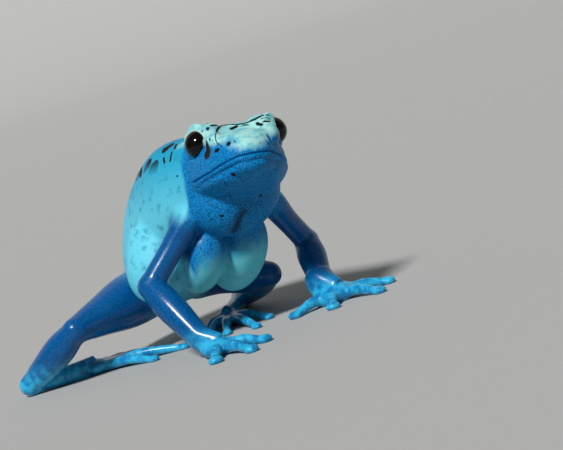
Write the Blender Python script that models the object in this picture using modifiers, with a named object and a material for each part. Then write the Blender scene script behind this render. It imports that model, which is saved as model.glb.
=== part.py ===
"""Blue poison dart frog, life size, sitting up on its hands with its head raised.

Forms are laid out in millimetres and scaled to metres when the nodes are made.
X is the frog's left, -Y is the way it faces, Z is up and the ground is Z = 0.
The body is modelled whole, then parted at the joints with thin cuts.
"""

from math import cos, pi, radians, sin

import bmesh
import bpy
import numpy as np
from mathutils import Matrix, Vector
from mathutils.bvhtree import BVHTree

MM = 0.001

# Driving sizes, in millimetres
HEAD_WIDTH = 12.9
BODY_WIDTH = 16.8
EYE_RADIUS = 1.85
EYE_SPACING = 9.8
GAP = 0.3
FOOTPRINT_CENTRE = Vector((-6.70, -4.33, 0.0))

# Fineness of the whole form, and of the solids cut from it
VOXEL = 0.28
FILLET_ROUNDS, SMOOTHING_ROUNDS = 14, 3
SOLID_TRIANGLES = 7000

RIGHT, LEFT = -1, 1
SIDE_NAMES = {RIGHT: "right", LEFT: "left"}

# How the head is held: the middle of its frame is midway between the eyes
HEAD_CENTRE = Vector((0.0, -15.0, 25.0))
HEAD_YAW, HEAD_PITCH, HEAD_ROLL = -13.0, -6.5, 8.5
HEAD = (
    Matrix.Translation(HEAD_CENTRE)
    @ Matrix.Rotation(radians(HEAD_YAW), 4, "Z")
    @ Matrix.Rotation(radians(HEAD_PITCH), 4, "X")
    @ Matrix.Rotation(radians(HEAD_ROLL), 4, "Y")
)

# The body leans over to the frog's left
LEAN = 15.0
LEANING = Matrix.Rotation(radians(LEAN), 4, "Y")
BODY_SIDE = LEANING @ Vector((1, 0, 0))

# Joints of the limbs
ARM = {
    RIGHT: {"shoulder": (-6.6, -9.6, 17.4), "elbow": (-14.5, -7.4, 10.2), "wrist": (-13.3, -14.4, 2.6)},
    LEFT: {"shoulder": (4.6, -8.8, 15.6), "elbow": (10.3, -5.0, 8.0), "wrist": (7.8, -10.2, 2.7)},
}
LEG = {
    RIGHT: {"hip": (-6.5, 9.2, 7.9), "knee": (-22.6, 1.8, 7.2), "heel": (-27.6, 10.5, 1.45)},
    LEFT: {"hip": (0.0, 10.0, 7.5), "knee": (6.0, 0.2, 5.0), "heel": (8.0, 14.5, 1.45)},
}

# Palm and fingers, from the inner finger to the outer: where each tip rests
HAND = {
    RIGHT: {
        "palm": (-12.2, -16.4, 0.95),
        "tips": [(-8.8, -17.6), (-7.6, -20.6), (-11.4, -23.8), (-15.4, -21.4)],
    },
    LEFT: {
        "palm": (8.2, -12.0, 0.95),
        "tips": [(1.5, -12.3), (4.8, -17.0), (10.8, -19.2), (15.0, -14.8)],
    },
}
# Sole and toes, from the inner toe to the outer
FOOT = {
    RIGHT: {
        "sole": (-19.2, 7.2, 0.9),
        "tips": [(-15.6, 9.2), (-12.8, 6.6), (-10.6, 2.8), (-9.9, -1.2), (-14.6, -1.2)],
    },
    LEFT: {
        "sole": (0.3, 4.8, 0.9),
        "tips": [(-3.7, 5.0), (-4.9, 0.8), (-4.7, -4.0), (-2.2, -8.0), (1.6, -4.6)],
    },
}


def smooth_rows(rows, steps):
    """Rows of numbers read from a smooth curve through the given rows."""
    rows = np.array(rows, float)
    ends = np.vstack([2 * rows[0] - rows[1], rows, 2 * rows[-1] - rows[-2]])
    out = []
    for i in range(len(rows) - 1):
        before, here, after, beyond = ends[i : i + 4]
        for t in np.arange(steps) / steps:
            bend = (2 * before - 5 * here + 4 * after - beyond) * t**2
            bend += (3 * here - before - 3 * after + beyond) * t**3
            out.append(0.5 * (2 * here + (after - before) * t + bend))
    out.append(rows[-1])
    return np.array(out)


def section(half_width, rise, drop, box_up, box_down, sides):
    """Sideways and upward places of the points round one section."""
    turn = np.linspace(0, 2 * pi, sides, endpoint=False)
    c, s = np.cos(turn), np.sin(turn)
    power = np.where(s > 0, 2 / box_up, 2 / box_down)
    across = half_width * np.sign(c) * np.abs(c) ** power
    upward = np.where(s > 0, rise, drop) * np.sign(s) * np.abs(s) ** power
    return across.tolist(), upward.tolist()


def mesh_object(name, bm):
    mesh = bpy.data.meshes.new(name)
    bm.to_mesh(mesh)
    bm.free()
    obj = bpy.data.objects.new(name, mesh)
    bpy.context.scene.collection.objects.link(obj)
    return obj


def loft(name, rings):
    """A closed surface through rings of as many points each."""
    bm = bmesh.new()
    loops = [[bm.verts.new(p) for p in ring] for ring in rings]
    for a, b in zip(loops, loops[1:]):
        for i in range(len(a)):
            j = (i + 1) % len(a)
            bm.faces.new((a[i], a[j], b[j], b[i]))
    bm.faces.new(loops[0][::-1])
    bm.faces.new(loops[-1])
    bmesh.ops.recalc_face_normals(bm, faces=bm.faces)
    return mesh_object(name, bm)


def sweep(name, stations, side, steps=6, sides=24, place=Matrix()):
    """A body with a section at each station: x, y, z, half width, rise, drop, box up, box down."""
    rows = smooth_rows(stations, steps)
    rings = []
    for i, row in enumerate(rows):
        ahead = rows[min(i + 1, len(rows) - 1)][:3]
        behind = rows[max(i - 1, 0)][:3]
        along = Vector(ahead - behind).normalized()
        across_axis = (Vector(side) - Vector(side).dot(along) * along).normalized()
        up_axis = along.cross(across_axis)
        half_width, rise, drop = np.maximum(row[3:6], 0.05)
        across, upward = section(half_width, rise, drop, row[6], row[7], sides)
        centre = Vector(row[:3])
        rings.append([place @ (centre + across_axis * a + up_axis * u) for a, u in zip(across, upward)])
    return loft(name, rings)


def limb(name, stations, side=(0, 0, 1), steps=5, sides=16):
    """A tube of oval section: each station is a point, a half width and a half height."""
    return sweep(name, [(*p, w, h, h, 2, 2) for p, w, h in stations], side, steps, sides)


def ball(name, centre, radii, place=Matrix(), turn=Matrix()):
    bm = bmesh.new()
    shape = place @ Matrix.Translation(centre) @ turn @ Matrix.Diagonal((*radii, 1))
    bmesh.ops.create_uvsphere(bm, u_segments=24, v_segments=16, radius=1, matrix=shape)
    return mesh_object(name, bm)


def between(a, b, t):
    return Vector(a).lerp(Vector(b), t)


# Torso, from the vent to the neck: x, y, z, half width, rise, drop, box up, box down
HALF_BODY = BODY_WIDTH / 2
TORSO = [
    (-4.0, 13.6, 4.4, 0.3, 0.3, 0.3, 2, 2),
    (-4.0, 13.0, 5.2, 0.30 * HALF_BODY, 2.0, 1.8, 2.1, 2),
    (-4.0, 11.2, 7.2, 0.59 * HALF_BODY, 4.4, 3.6, 2.2, 2.1),
    (-3.8, 8.2, 9.8, 0.79 * HALF_BODY, 7.0, 5.6, 2.2, 2.3),
    (-3.3, 4.2, 12.8, 0.88 * HALF_BODY, 9.2, 7.0, 2.3, 2.4),
    (-2.6, -0.4, 16.0, 0.92 * HALF_BODY, 9.6, 7.4, 2.4, 2.3),
    (-1.9, -4.8, 18.6, 0.92 * HALF_BODY, 8.4, 6.8, 2.6, 2.2),
    (-1.1, -8.6, 20.2, 0.82 * HALF_BODY, 6.4, 6.8, 2.4, 2.1),
    (-0.2, -12.0, 21.2, 0.70 * HALF_BODY, 4.4, 5.4, 2.3, 2.1),
    (0.2, -15.0, 21.8, 0.50 * HALF_BODY, 2.6, 3.6, 2.2, 2.1),
]

# Soft forms of the throat and belly: centre and radii
THROAT = ((-0.9, -11.1, 18.1), (6.7, 4.8, 5.4))
THROAT_TILT = -8.0
BELLY_PITCH = 38.0
BELLY_LOBES = {
    RIGHT: ((-6.2, -6.8, 11.0), (3.1, 3.4, 4.9)),
    LEFT: ((-0.5, -6.4, 10.4), (3.8, 3.8, 6.2)),
}
FLANK_FOLD = [
    ((-7.4, 0.6, 15.8), 3.9),
    ((-9.1, -0.5, 12.4), 4.4),
    ((-9.6, -0.8, 10.4), 4.5),
    ((-9.2, -0.4, 8.6), 3.9),
]

# Folds of the soft skin: the line each follows, how deep it goes and its half width
FOLDS = [
    ([(-3.1, -10.1, 13.3), (-3.9, -9.4, 10.3), (-4.5, -7.5, 8.0), (-4.8, -6.3, 7.1)], 0.50, 0.60),
    ([(-2.5, -15.3, 15.8), (-3.1, -14.6, 14.7), (-3.6, -13.5, 13.8), (-3.4, -11.5, 13.0)], 0.50, 0.60),
    ([(-7.3, -11.9, 16.2), (-7.1, -10.0, 14.7), (-6.3, -7.5, 13.4)], 0.35, 0.45),
]


def trunk_forms():
    forms = [sweep("torso_form", TORSO, BODY_SIDE, steps=5, sides=64)]
    along = LEANING @ Matrix.Rotation(radians(BELLY_PITCH), 4, "X")
    for centre, radii in BELLY_LOBES.values():
        forms.append(ball("belly_form", centre, radii, turn=along))
    flank = [(point, radius, radius) for point, radius in FLANK_FOLD]
    forms.append(limb("flank_form", flank, (0, 1, 0), sides=24))
    return forms


# Head, from the neck to the snout: y, top, widest level, bottom, half width, box of the top
HALF_HEAD = HEAD_WIDTH / 2
HEAD_SECTIONS = [
    (13.0, -2.0, -4.0, -7.0, 0.50 * HALF_HEAD, 2.2),
    (10.0, 0.5, -3.9, -8.2, 0.80 * HALF_HEAD, 2.3),
    (7.5, 1.6, -3.9, -8.6, 0.92 * HALF_HEAD, 2.4),
    (5.0, 1.9, -4.0, -8.6, 0.98 * HALF_HEAD, 2.6),
    (2.0, 2.0, -4.4, -8.0, 1.00 * HALF_HEAD, 2.6),
    (-0.5, 1.95, -4.4, -7.4, 0.95 * HALF_HEAD, 2.7),
    (-3.0, 1.4, -4.0, -6.9, 0.84 * HALF_HEAD, 2.9),
    (-5.2, 0.6, -3.2, -6.3, 0.68 * HALF_HEAD, 3.1),
    (-7.0, -0.2, -3.1, -5.6, 0.50 * HALF_HEAD, 2.8),
    (-8.1, -0.9, -3.1, -5.1, 0.34 * HALF_HEAD, 2.5),
    (-8.7, -1.8, -3.1, -4.4, 0.17 * HALF_HEAD, 2.2),
    (-8.85, -2.8, -3.1, -3.5, 0.03 * HALF_HEAD, 2.0),
]
JAW_BOX = 2.3
CHEEK_SHIFT = -0.3

# The line of the mouth: level at each heading, from the tip of the snout to the corner
MOUTH_CORNER_HEADING = 98.0
MOUTH_LEVELS = [(0.0, -3.0), (15.0, -3.05), (30.0, -3.5), (50.0, -4.1), (75.0, -4.45), (100.0, -4.7)]
LIP_RADIUS = 0.45
LIP_RAISED = 0.12
MOUTH_DEPTH = 0.30

# Places on the head, in its own frame
NOSTRIL = (2.6, -7.0, -1.3)
NOSTRIL_RADIUS = 0.34
EAR = (6.0, 2.9, -1.2)
EAR_RADIUS = 0.95
EAR_RIM = 0.16
# The lids: the swelling that carries the eye, the thin lid round it and the ridge over it
ORBIT = ((3.5, 0.3, 0.05), (2.5, 2.8, 2.45))
LID_RADIUS = EYE_RADIUS + 0.55
LID_RIDGE = [
    ((4.5, -2.1, 0.5), 0.60),
    ((4.9, -1.2, 1.5), 0.85),
    ((5.2, 0.2, 1.9), 0.95),
    ((5.2, 1.6, 1.3), 0.85),
]
# The opening of the lids: which way it faces, and degrees from there to their edge
LID_AXIS = (0.86, -0.48, 0.12)
LID_OPENING = 68.0
# The ridge from each eye to its nostril: places on it, and its half widths
BROW_RIDGE = [((3.9, -0.8, 0.5), 1.6), ((3.7, -3.6, -0.5), 1.35), ((2.7, -6.2, -1.6), 0.95)]


def skull():
    stations = [
        (CHEEK_SHIFT, y, level, w, top - level, level - bottom, box, JAW_BOX)
        for y, top, level, bottom, w, box in HEAD_SECTIONS
    ]
    return sweep("skull_form", stations, (1, 0, 0), steps=5, sides=44, place=HEAD)


def eye_centre(side):
    return Vector((side * EYE_SPACING / 2, 0, 0))


def surface_point(tree, heading, level):
    """Where the head's surface lies at a heading from the snout, at a level in its frame."""
    out = Matrix.Rotation(radians(heading), 4, "Z") @ Vector((0, -1, 0))
    middle = Vector((0, 0, level))
    start = HEAD @ (middle + out * 20)
    hit = tree.ray_cast(start, HEAD.to_3x3() @ -out)
    return hit[0], hit[1]


def mouth_path(tree, lift=0.0, count=41):
    """Points and outward normals along the line of the mouth, right corner to left corner."""
    headings = np.linspace(-MOUTH_CORNER_HEADING, MOUTH_CORNER_HEADING, count)
    turns, levels = zip(*MOUTH_LEVELS)
    points = []
    for heading in headings:
        level = np.interp(abs(heading), turns, levels) + lift
        points.append(surface_point(tree, heading, level))
    return points


def lip_forms(head_form):
    """Soft rolls above and below the line of the mouth."""
    tree = BVHTree.FromObject(head_form, bpy.context.evaluated_depsgraph_get())
    forms = []
    for lift in (1, -1):
        path = mouth_path(tree, lift * LIP_RADIUS)
        stations = []
        for i, (point, normal) in enumerate(path):
            taper = min(1, (min(i, len(path) - 1 - i) + 1) / 6)
            radius = LIP_RADIUS * taper
            stations.append((point + normal * (LIP_RAISED - radius), radius, radius))
        forms.append(limb("lip_form", stations, HEAD.to_3x3() @ Vector((0, 0, 1)), steps=1, sides=12))
    return forms


def on_head(side, place):
    """A place given for the left of the head, on either side of it, in the body's frame."""
    x, y, z = place
    return HEAD @ Vector((side * x, y, z))


def head_forms():
    head_form = skull()
    forms = [head_form] + lip_forms(head_form)
    for side in (RIGHT, LEFT):
        (x, y, z), radii = ORBIT
        forms.append(ball("orbit_form", (side * x, y, z), radii, place=HEAD))
        forms.append(ball("lid_form", eye_centre(side), (LID_RADIUS,) * 3, place=HEAD))
        for ridge in (LID_RIDGE, BROW_RIDGE):
            forms.append(limb("brow_form", [(on_head(side, point), r, r) for point, r in ridge]))
    return forms


FINGER_RADIUS, FINGER_END = 0.76, 0.60
TOE_RADIUS, TOE_END = 0.70, 0.52
DISC_RADII = (1.05, 0.95, 0.60)
TOE_DISC_RADII = (0.78, 0.85, 0.52)
THIGH_BULK = {RIGHT: 1.12, LEFT: 0.86}
HAND_BREADTH = {RIGHT: 1.0, LEFT: 1.3}


def digits(root, tips, radius, end, disc, spread):
    """Digits that fan from the edge of a palm or sole and end in flat discs on the ground."""
    forms = []
    root = Vector(root)
    for tip in tips:
        away = (Vector((*tip, 0)) - Vector((root.x, root.y, 0)))
        heading = away.normalized()
        start = root + heading * spread * 0.5
        knuckle = root + away * 0.55
        stations = [
            ((start.x, start.y, root.z * 0.85), radius * 1.15, radius * 1.1),
            ((knuckle.x, knuckle.y, radius + 0.30), radius, radius),
            ((tip[0] - heading.x * 0.8, tip[1] - heading.y * 0.8, end - 0.10), end, end),
            ((tip[0], tip[1], end - 0.15), end, end),
        ]
        forms.append(limb("digit_form", stations, steps=4, sides=12))
        face = Matrix.Rotation(np.arctan2(heading.y, heading.x) + pi / 2, 4, "Z")
        forms.append(ball("disc_form", (tip[0], tip[1], disc[2] - 0.2), disc, turn=face))
    return forms


def arm_forms(side):
    shoulder, elbow, wrist = (Vector(ARM[side][key]) for key in ("shoulder", "elbow", "wrist"))
    palm, tips = Vector(HAND[side]["palm"]), HAND[side]["tips"]
    chest = shoulder + Vector((-side * 2.2, 0.8, 0.8))
    breadth = HAND_BREADTH[side]
    forms = [
        limb("upper_arm_form", [
            (chest, 2.4, 2.4),
            (shoulder, 2.1, 2.1),
            (between(shoulder, elbow, 0.5), 1.6, 1.6),
            (elbow, 1.6, 1.6),
        ]),
        ball("elbow_form", elbow, (1.75, 1.75, 1.75)),
        limb("forearm_form", [
            (elbow, 1.7, 1.7),
            (between(elbow, wrist, 0.35), 2.1, 2.0),
            (between(elbow, wrist, 0.75), 1.85, 1.75),
            (wrist, 1.65 * breadth, 1.5 * breadth),
        ]),
        limb("wrist_form", [
            (between(elbow, wrist, 0.85), 1.7 * breadth, 1.6 * breadth),
            (wrist, 1.75 * breadth, 1.5 * breadth),
            (palm, 2.0 * breadth, 1.1 * breadth),
        ]),
        ball("palm_form", palm, (2.35 * breadth, 2.2 * breadth, 1.2 * breadth)),
    ]
    return forms + digits(palm, tips, FINGER_RADIUS, FINGER_END, DISC_RADII, 1.9)


def leg_forms(side):
    hip, knee, heel = (Vector(LEG[side][key]) for key in ("hip", "knee", "heel"))
    bulk = THIGH_BULK[side]
    sole, tips = Vector(FOOT[side]["sole"]), FOOT[side]["tips"]
    forms = [
        limb("thigh_form", [
            (hip, 3.7, 3.7),
            (between(hip, knee, 0.35), 3.3 * bulk, 3.3 * bulk),
            (between(hip, knee, 0.7), 2.65, 2.65),
            (knee, 1.75, 1.75),
        ]),
        ball("knee_form", knee, (1.8, 1.8, 1.8)),
        limb("shank_form", [
            (knee, 1.65, 1.65),
            (between(knee, heel, 0.35), 2.1, 2.05),
            (between(knee, heel, 0.75), 1.8, 1.75),
            (heel, 1.55, 1.45),
        ]),
        ball("heel_form", heel, (1.7, 1.7, 1.6)),
        limb("tarsus_form", [
            (heel, 1.35, 1.4),
            (between(heel, sole, 0.5), 1.25, 1.15),
            (sole, 1.7, 0.95),
        ]),
        ball("sole_form", sole, (1.9, 1.9, 1.05)),
    ]
    return forms + digits(sole, tips, TOE_RADIUS, TOE_END, TOE_DISC_RADII, 1.8)


def join(name, forms):
    bm = bmesh.new()
    for form in forms:
        bm.from_mesh(form.data)
        mesh = form.data
        bpy.data.objects.remove(form)
        bpy.data.meshes.remove(mesh)
    return mesh_object(name, bm)


def shells(obj):
    """The separate closed surfaces of an object, each as a set of faces."""
    bm = bmesh.new()
    bm.from_mesh(obj.data)
    left = set(bm.faces)
    found = []
    while left:
        shell, edge = set(), [left.pop()]
        while edge:
            face = edge.pop()
            shell.add(face)
            for line in face.edges:
                for other in line.link_faces:
                    if other in left:
                        left.remove(other)
                        edge.append(other)
        found.append(shell)
    return bm, found


def keep_largest(obj):
    """Drop every closed surface but the largest."""
    bm, found = shells(obj)
    largest = max(found, key=len)
    bmesh.ops.delete(bm, geom=[face for face in bm.faces if face not in largest], context="FACES")
    bm.to_mesh(obj.data)
    bm.free()


def apply_modifiers(obj):
    graph = bpy.context.evaluated_depsgraph_get()
    mesh = bpy.data.meshes.new_from_object(obj.evaluated_get(graph))
    obj.modifiers.clear()
    obj.data = mesh


def fuse(obj, voxel):
    remesh = obj.modifiers.new("fuse", "REMESH")
    remesh.mode = "VOXEL"
    remesh.voxel_size = voxel
    remesh.adaptivity = 0
    apply_modifiers(obj)


def mesh_points(obj):
    points = np.empty(len(obj.data.vertices) * 3)
    obj.data.vertices.foreach_get("co", points)
    return points.reshape(-1, 3)


def mesh_normals(obj):
    normals = np.empty(len(obj.data.vertices) * 3)
    obj.data.vertex_normals.foreach_get("vector", normals)
    return normals.reshape(-1, 3)


def relax(obj, rounds, strength):
    """Move each point towards the mean of its neighbours, by its own strength."""
    mesh = obj.data
    points = mesh_points(obj)
    count = len(points)
    edges = np.empty(len(mesh.edges) * 2, int)
    mesh.edges.foreach_get("vertices", edges)
    a, b = edges.reshape(-1, 2).T
    links = np.bincount(a, minlength=count) + np.bincount(b, minlength=count)
    weight = strength(points)[:, None]
    for _ in range(rounds):
        total = np.zeros_like(points)
        for axis in range(3):
            total[:, axis] = np.bincount(a, points[b, axis], count) + np.bincount(b, points[a, axis], count)
        points += weight * (total / links[:, None] - points)
    mesh.vertices.foreach_set("co", points.ravel())
    mesh.update()


def thin_out(obj, triangles):
    """Bring an object down to a number of triangles."""
    obj.data.calc_loop_triangles()
    decimate = obj.modifiers.new("thin_out", "DECIMATE")
    decimate.ratio = triangles / len(obj.data.loop_triangles)
    apply_modifiers(obj)
    keep_largest(obj)


def near(points, centre, reach):
    """One at the centre, falling smoothly to nothing at the reach."""
    distance = np.linalg.norm(points - np.array(centre), axis=1)
    t = np.clip(1 - distance / reach, 0, 1)
    return t * t * (3 - 2 * t)


def fillet_strength(points):
    """How softly the skin runs over the places where limbs join the body."""
    soft = np.zeros(len(points))
    for side in (RIGHT, LEFT):
        for centre, reach in (
            (ARM[side]["shoulder"], 6.5),
            (ARM[side]["elbow"], 3.2),
            (LEG[side]["knee"], 4.2),
            (LEG[side]["heel"], 3.5),
            (between(LEG[side]["hip"], LEG[side]["knee"], 0.3), 8.0),
        ):
            soft = np.maximum(soft, near(points, centre, reach))
    soft = np.maximum(soft, near(points, FLANK_FOLD[0][0], 9.0))
    soft = np.maximum(soft, near(points, THROAT[0], 10.0) * (points[:, 2] < 18.5))
    return 0.5 * soft


def even_strength(points):
    return np.full(len(points), 0.45)


def line_distance(points, line):
    """How far each point is from a chain of straight pieces, and how far along it that is (0 to 1)."""
    line = np.array([tuple(p) for p in line])
    best = np.full(len(points), 1e9)
    along = np.zeros(len(points))
    for i, (a, b) in enumerate(zip(line, line[1:])):
        ab = b - a
        t = np.clip((points - a) @ ab / (ab @ ab), 0, 1)
        gap = np.linalg.norm(points - (a + t[:, None] * ab), axis=1)
        closer = gap < best
        best = np.where(closer, gap, best)
        along = np.where(closer, (i + t) / (len(line) - 1), along)
    return best, along


def press_folds(obj):
    """Press soft folds into the skin, each fading towards its ends."""
    points, normals = mesh_points(obj), mesh_normals(obj)
    for line, depth, half_width in FOLDS:
        gap, along = line_distance(points, line)
        fade = np.sqrt(np.sin(pi * np.clip(along, 0.02, 0.98)))
        points -= normals * (depth * fade * np.exp(-((gap / half_width) ** 2)))[:, None]
    obj.data.vertices.foreach_set("co", points.ravel())
    obj.data.update()


def whole_body():
    forms = trunk_forms() + head_forms()
    forms.append(ball("throat_form", *THROAT, turn=Matrix.Rotation(radians(THROAT_TILT), 4, "Y")))
    for side in (RIGHT, LEFT):
        forms += arm_forms(side) + leg_forms(side)
    body = join("body", forms)
    fuse(body, VOXEL)
    relax(body, FILLET_ROUNDS, fillet_strength)
    press_folds(body)
    relax(body, SMOOTHING_ROUNDS, even_strength)
    return body


def clear_scene():
    for obj in list(bpy.data.objects):
        bpy.data.objects.remove(obj)


# Thin cuts that part the body: centre, normal and radius of each disc
NECK_CUT = ((0.2, -10.3, 20.5), (0.10, -0.86, 0.50), 11.5)
EYE_SOCKET = EYE_RADIUS + GAP
KNEE_CUT = {RIGHT: 5.6, LEFT: 6.9}
HEEL_CUT = {RIGHT: 4.8, LEFT: 7.5}
ROOTS = [
    (between(ARM[RIGHT]["shoulder"], ARM[RIGHT]["elbow"], 0.3), 7.5),
    (between(ARM[LEFT]["shoulder"], ARM[LEFT]["elbow"], 0.2), 6.5),
    (between(LEG[RIGHT]["hip"], LEG[RIGHT]["knee"], 0.25), 10.0),
    (between(LEG[LEFT]["hip"], LEG[LEFT]["knee"], 0.5), 10.5),
]
ROOT_LIFT = 0.06
SHELL_TRIANGLES = 700
SHELL_ROUNDS = 9
FOLD_SHIFT = 0.4


def joint_cuts():
    """The discs that part head, limbs, hands and feet from one another."""
    cuts = [NECK_CUT]
    for side in (RIGHT, LEFT):
        arm, leg = ARM[side], LEG[side]
        palm, sole = HAND[side]["palm"], FOOT[side]["sole"]
        cuts.append(limb_cut(arm["shoulder"], arm["elbow"], 0.2, 3.6))
        cuts.append(fold_cut(arm["shoulder"], arm["elbow"], arm["wrist"], 3.2))
        cuts.append(limb_cut(arm["wrist"], palm, 0.05, 2.3 * HAND_BREADTH[side]))
        cuts.append(fold_cut(leg["hip"], leg["knee"], leg["heel"], KNEE_CUT[side]))
        cuts.append(fold_cut(leg["knee"], leg["heel"], sole, HEEL_CUT[side]))
        cuts.append(limb_cut(leg["heel"], sole, 0.72, 2.3))
    return cuts


def limb_cut(start, end, t, radius):
    """A cut straight across a limb, part of the way along it."""
    return (between(start, end, t), Vector(end) - Vector(start), radius)


def fold_cut(before, joint, after, radius):
    """A cut that halves the angle at a bent joint."""
    joint = Vector(joint)
    inward = (Vector(before) - joint).normalized()
    outward = (Vector(after) - joint).normalized()
    return (joint + (inward + outward).normalized() * FOLD_SHIFT, inward - outward, radius)


def puffed(form, distance):
    """A copy of a form, swollen by a distance all round."""
    copy = bpy.data.objects.new(form.name + "_puffed", form.data.copy())
    bpy.context.scene.collection.objects.link(copy)
    points = mesh_points(copy) + distance * mesh_normals(copy)
    copy.data.vertices.foreach_set("co", points.ravel())
    copy.data.update()
    return copy


def boolean(obj, other, operation):
    cut = obj.modifiers.new("cut", "BOOLEAN")
    cut.operation = operation
    cut.object = other
    cut.solver = "MANIFOLD"


def root_cutters():
    """Thin shells over the trunk, one round the root of each limb."""
    trunk = join("trunk_form", trunk_forms())
    fuse(trunk, 2 * VOXEL)
    relax(trunk, SHELL_ROUNDS, even_strength)
    thin_out(trunk, SHELL_TRIANGLES)
    inner = puffed(trunk, ROOT_LIFT)
    cutters = []
    for centre, reach in ROOTS:
        shell = puffed(trunk, ROOT_LIFT + GAP)
        around = ball("around_form", centre, (reach,) * 3)
        boolean(shell, inner, "DIFFERENCE")
        boolean(shell, around, "INTERSECT")
        apply_modifiers(shell)
        bpy.data.objects.remove(around)
        cutters.append(shell)
    bpy.data.objects.remove(trunk)
    bpy.data.objects.remove(inner)
    return cutters


def facing(centre, axis):
    """A frame at a place, its Z along an axis."""
    return Matrix.Translation(centre) @ Vector(axis).to_track_quat("Z", "Y").to_matrix().to_4x4()


def drum(name, centre, axis, radius, length):
    bm = bmesh.new()
    bmesh.ops.create_cone(
        bm,
        cap_ends=True,
        segments=32,
        radius1=radius,
        radius2=radius,
        depth=length,
        matrix=facing(centre, axis),
    )
    return mesh_object(name, bm)


def ground_cutter():
    bm = bmesh.new()
    shape = Matrix.Translation((-5, 0, -5)) @ Matrix.Diagonal((90, 80, 10, 1))
    bmesh.ops.create_cube(bm, size=1, matrix=shape)
    return mesh_object("ground_cutter", bm)


def ring_cutter(name, centre, axis, radius, thickness):
    bm = bmesh.new()
    frame = facing(centre, axis)
    rings = []
    for heading in np.linspace(0, 2 * pi, 20, endpoint=False):
        spoke = Matrix.Rotation(heading, 4, "Z")
        around = np.linspace(0, 2 * pi, 6, endpoint=False)
        rings.append([
            bm.verts.new(frame @ spoke @ Vector((radius + thickness * np.cos(a), 0, thickness * np.sin(a))))
            for a in around
        ])
    for i, ring in enumerate(rings):
        following = rings[(i + 1) % len(rings)]
        for j in range(len(ring)):
            k = (j + 1) % len(ring)
            bm.faces.new((ring[j], ring[k], following[k], following[j]))
    bmesh.ops.recalc_face_normals(bm, faces=bm.faces)
    return mesh_object(name, bm)


def face_cutters(body):
    """Sockets, the line of the mouth, nostrils and the rims of the ears."""
    tree = BVHTree.FromObject(body, bpy.context.evaluated_depsgraph_get())
    path = mouth_path(tree)
    stations = [(point, MOUTH_DEPTH, MOUTH_DEPTH) for point, _ in path]
    up = HEAD.to_3x3() @ Vector((0, 0, 1))
    cutters = [limb("mouth_cutter", stations, up, steps=1, sides=6)]
    for side in (RIGHT, LEFT):
        cutters.append(ball("socket_cutter", eye_centre(side), (EYE_SOCKET,) * 3, place=HEAD))
        cutters.append(lid_cutter(side))
        nostril, _ = cast_inward(tree, side, NOSTRIL)
        cutters.append(ball("nostril_cutter", nostril, (NOSTRIL_RADIUS,) * 3))
        cutters.append(ring_cutter("ear_cutter", *cast_inward(tree, side, EAR), EAR_RADIUS, EAR_RIM))
    return cutters


def cast_inward(tree, side, place):
    """The surface point nearest a place on the right or left of the head, and its normal."""
    point, normal, _, _ = tree.find_nearest(on_head(side, place))
    return point, normal


def lid_cutter(side):
    """A drum that opens the lids over the eye."""
    edge = radians(LID_OPENING)
    middle = HEAD @ eye_centre(side)
    axis = (on_head(side, LID_AXIS) - HEAD_CENTRE).normalized()
    start = EYE_RADIUS * cos(edge)
    length = 2 * EYE_RADIUS
    return drum("lid_cutter", middle + axis * (start + length / 2), axis, EYE_SOCKET * sin(edge), length)


# A point in each node's flesh, by which its piece is known
def markers():
    marks = {
        "torso": Vector((-3.0, 2.0, 14.0)),
        "head": HEAD @ Vector((0, -2.0, -2.0)),
    }
    for side in (RIGHT, LEFT):
        name = SIDE_NAMES[side]
        arm, leg = ARM[side], LEG[side]
        marks["upper_arm_" + name] = between(arm["shoulder"], arm["elbow"], 0.6)
        marks["forearm_" + name] = between(arm["elbow"], arm["wrist"], 0.5)
        marks["hand_" + name] = Vector(HAND[side]["palm"])
        marks["thigh_" + name] = between(leg["hip"], leg["knee"], 0.65)
        marks["shank_" + name] = between(leg["knee"], leg["heel"], 0.5)
        marks["tarsus_" + name] = between(leg["heel"], FOOT[side]["sole"], 0.4)
        marks["foot_" + name] = Vector(FOOT[side]["sole"])
    return marks


def part_nodes(body, collection):
    """One object for each named node, from the pieces that the cuts leave."""
    bm, found = shells(body)
    pieces = []
    for shell in found:
        corners = {vert for face in shell for vert in face.verts}
        pieces.append((np.array([vert.co for vert in corners]), shell))
    for name, mark in markers().items():
        gaps = [np.linalg.norm(points - np.array(mark), axis=1).min() for points, _ in pieces]
        shell = pieces.pop(int(np.argmin(gaps)))[1]
        bm.faces.index_update()
        keep = {face.index for face in shell}
        node = bm.copy()
        node.faces.ensure_lookup_table()
        spare = [face for face in node.faces if face.index not in keep]
        bmesh.ops.delete(node, geom=spare, context="FACES")
        bmesh.ops.triangulate(node, faces=node.faces)
        finish_node(name, node, collection)
    bm.free()


SKIN = {
    "head": (0.05, 0.27, 0.62),
    "torso": (0.13, 0.50, 0.66),
    "limb": (0.02, 0.13, 0.50),
    "digit": (0.06, 0.33, 0.70),
    "eye": (0.010, 0.007, 0.006),
}
SKIN_ROUGHNESS, EYE_ROUGHNESS = 0.35, 0.06


def skin_kind(name):
    if name.startswith(("hand", "foot")):
        return "digit"
    return name.split("_")[0] if name.split("_")[0] in SKIN else "limb"


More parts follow.
